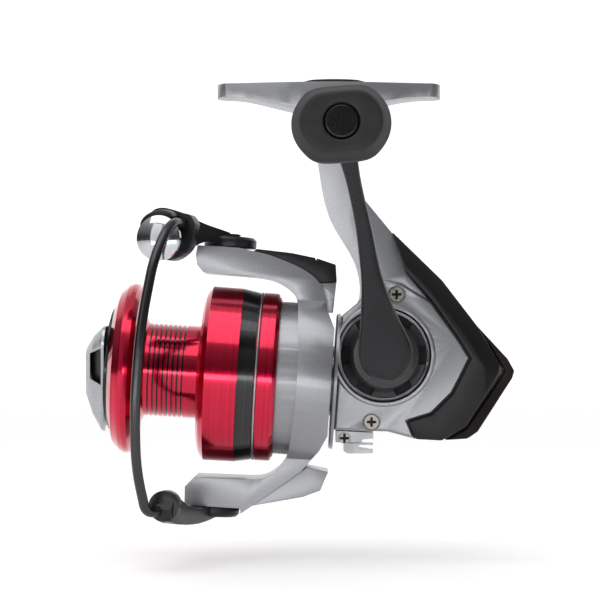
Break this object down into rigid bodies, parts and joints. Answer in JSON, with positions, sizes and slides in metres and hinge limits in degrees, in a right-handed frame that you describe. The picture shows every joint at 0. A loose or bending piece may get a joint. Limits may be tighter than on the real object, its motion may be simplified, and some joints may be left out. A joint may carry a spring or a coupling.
{
  "type": "spinning reel",
  "caption": "Open-face fishing reel with a foot and stem, a two-armed rotor, a bent-wire bail, a grooved spool with front drag knob, and a cranked side handle.",
  "frame": {"origin": "centre of the foot's flat seating face, where the reel meets the rod", "axes": "+Z out of the foot towards the rod, -X towards the spool end, -Y towards the handle side"},
  "size_m": [0.1225, 0.1152, 0.1247],
  "materials": {
    "silver_paint": "satin metallic",
    "black_plastic": "satin moulded",
    "arm_paint": "satin",
    "soft_grey": "soft touch",
    "cap_plastic": "gloss",
    "tail_plastic": "satin",
    "red_anodised": "gloss anodised",
    "black_anodised": "gloss anodised",
    "shell_silver": "silver plated",
    "chrome": "polished",
    "wire_metal": "dark plated",
    "steel": "machined",
    "brass": "cut teeth",
    "gear_zinc": "zinc casting",
    "inner_plastic": "plain",
    "lever_white": "silver"
  },
  "bodies": {
    "frame": {"body_frame": "silver_paint", "foot_pad": "cap_plastic", "side_cover": "silver_paint", "cover_screws": "steel", "rear_cover": "black_plastic", "rear_bumper": "tail_plastic", "front_plate": "silver_paint", "pinion_bearing": "steel", "clutch_housing": "steel", "clutch_rollers": "steel", "drive_bearings": "steel", "far_side_cap": "black_plastic", "guide_rod": "steel", "lever_bracket": "steel", "bracket_screw": "steel"},
    "stop_lever": {"anti_reverse_lever": "lever_white"},
    "handle": {"drive_gear": "gear_zinc", "drive_shaft": "steel", "handle_collar": "black_plastic", "handle_arm": "arm_paint", "knob_spindle": "steel"},
    "handle_grip": {"handle_knob": "soft_grey", "knob_cap": "cap_plastic", "knob_bushes": "inner_plastic"},
    "crosswind": {"crosswind_gear": "brass"},
    "shaft": {"main_shaft": "steel", "crosswind_slider": "inner_plastic", "click_ratchet": "inner_plastic"},
    "spool_set": {"spool": "red_anodised", "skirt_band": "black_anodised", "skirt_rear_ring": "red_anodised", "lip_trim": "black_anodised", "spool_bush": "inner_plastic", "drag_washers": "inner_plastic", "drag_retainer": "steel"},
    "drag_knob": {"drag_knob_shell": "shell_silver", "drag_knob_insert": "black_plastic", "drag_nut": "steel", "drag_spring": "steel"},
    "rotor_set": {"rotor": "silver_paint", "pinion_gear": "brass", "clutch_sleeve": "steel", "rotor_nut": "steel", "arm_cover": "black_plastic", "arm_block": "silver_paint", "arm_fin": "silver_paint", "bail_spring": "steel", "bail_screws": "steel"},
    "bail": {"bail_arm": "arm_paint", "bail_lever": "arm_paint", "bail_wire": "wire_metal", "bail_cap": "chrome"},
    "roller": {"line_roller": "chrome"}
  },
  "joints": [
    {"name": "handle_spin", "type": "hinge", "parent": "frame", "child": "handle", "pos_m": [0.0154, 0, -0.0775], "axis": [0, -1, 0], "continuous": true},
    {"name": "knob_spin", "type": "hinge", "parent": "handle", "child": "handle_grip", "pos_m": [0.00266, -0.07, -0.02051], "axis": [0, -1, 0], "continuous": true},
    {"name": "crosswind_spin", "type": "hinge", "parent": "frame", "child": "crosswind", "pos_m": [0.0239, 0.003, -0.08605], "axis": [0, -1, 0], "continuous": true},
    {"name": "rotor_spin", "type": "hinge", "parent": "frame", "child": "rotor_set", "pos_m": [0.001, 0, -0.08505], "axis": [-0.9979, 0, 0.0645], "continuous": true},
    {"name": "bail_flip", "type": "hinge", "parent": "rotor_set", "child": "bail", "pos_m": [-0.03073, 0, -0.083], "axis": [-0.0645, 0, -0.9979], "range_deg": [0, 115]},
    {"name": "roller_spin", "type": "hinge", "parent": "bail", "child": "roller", "pos_m": [-0.04407, -0.01746, -0.04556], "axis": [-0.2414, -0.9703, 0.0156], "continuous": true},
    {"name": "shaft_slide", "type": "slide", "parent": "frame", "child": "shaft", "axis": [-0.9979, 0, 0.0645], "range_m": [-0.003, 0.007]},
    {"name": "spool_slip", "type": "hinge", "parent": "shaft", "child": "spool_set", "pos_m": [0.001, 0, -0.08505], "axis": [-0.9979, 0, 0.0645], "continuous": true},
    {"name": "drag_turn", "type": "hinge", "parent": "shaft", "child": "drag_knob", "pos_m": [0.001, 0, -0.08505], "axis": [-0.9979, 0, 0.0645], "continuous": true},
    {"name": "stop_lever_swing", "type": "hinge", "parent": "frame", "child": "stop_lever", "pos_m": [0.0066, -0.003, -0.104], "axis": [0, 0, 1], "range_deg": [0, 28]}
  ],
  "couplings": [
    {"joint": "rotor_spin", "follows": "handle_spin", "ratio": 5.2222},
    {"joint": "crosswind_spin", "follows": "handle_spin", "ratio": -0.71429}
  ]
}
